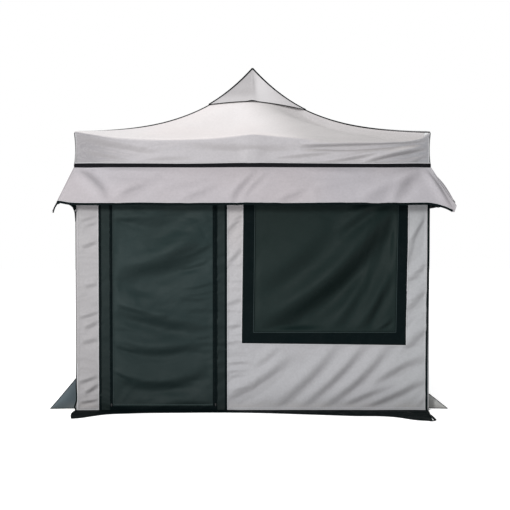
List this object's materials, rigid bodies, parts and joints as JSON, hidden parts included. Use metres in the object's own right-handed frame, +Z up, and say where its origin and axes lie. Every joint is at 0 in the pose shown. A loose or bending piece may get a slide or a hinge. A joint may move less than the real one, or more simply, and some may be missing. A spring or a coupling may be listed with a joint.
{
  "type": "pop-up frame tent",
  "caption": "Square frame tent with a hollow pointed roof, vent cap, flared eave skirt, cloth walls, zipped door and a wide window.",
  "frame": {"origin": "on the ground under the middle of the tent", "axes": "+X to the right seen from the door side, +Y from the door side to the rear, +Z up"},
  "size_m": [3.4034, 3.7834, 3.147],
  "materials": {
    "roof_cloth": "light coated polyester, soft sheen",
    "eave_cloth": "light grey coated polyester",
    "wall_cloth": "light grey coated polyester",
    "dark_cloth": "dark green-grey coated polyester",
    "black_webbing": "black webbing and zip tape",
    "storm_cloth": "blue-grey coated polyester",
    "frame_steel": "satin grey powder coat"
  },
  "bodies": {
    "root": {"centre_mast": "frame_steel", "door_panel": "dark_cloth", "door_strip_left": "dark_cloth", "door_strip_right": "dark_cloth", "door_zip_left": "black_webbing", "door_zip_right": "black_webbing", "eave_band": "black_webbing", "eave_skirt_front": "eave_cloth", "eave_skirt_left": "eave_cloth", "eave_skirt_rear": "eave_cloth", "eave_skirt_right": "eave_cloth", "fascia_front": "eave_cloth", "fascia_left": "eave_cloth", "fascia_rear": "eave_cloth", "fascia_right": "eave_cloth", "front_wall": "wall_cloth", "ground_band_left": "black_webbing", "ground_band_right": "black_webbing", "ground_flap_front": "black_webbing", "ground_flap_rear": "black_webbing", "left_wall": "wall_cloth", "leg_front_left": "frame_steel", "leg_front_right": "frame_steel", "leg_rear_left": "frame_steel", "leg_rear_right": "frame_steel", "rear_wall": "wall_cloth", "right_wall": "wall_cloth", "roof_front": "roof_cloth", "roof_left": "roof_cloth", "roof_rear": "roof_cloth", "roof_right": "roof_cloth", "roof_truss_front": "frame_steel", "roof_truss_left": "frame_steel", "roof_truss_rear": "frame_steel", "roof_truss_right": "frame_steel", "storm_flap_front_left": "storm_cloth", "storm_flap_front_right": "storm_cloth", "storm_flap_rear_left": "storm_cloth", "storm_flap_rear_right": "storm_cloth", "truss_front": "frame_steel", "truss_left": "frame_steel", "truss_rear": "frame_steel", "truss_right": "frame_steel", "vent_cap": "roof_cloth", "window_border": "black_webbing", "window_panel": "dark_cloth"}
  },
  "joints": []
}
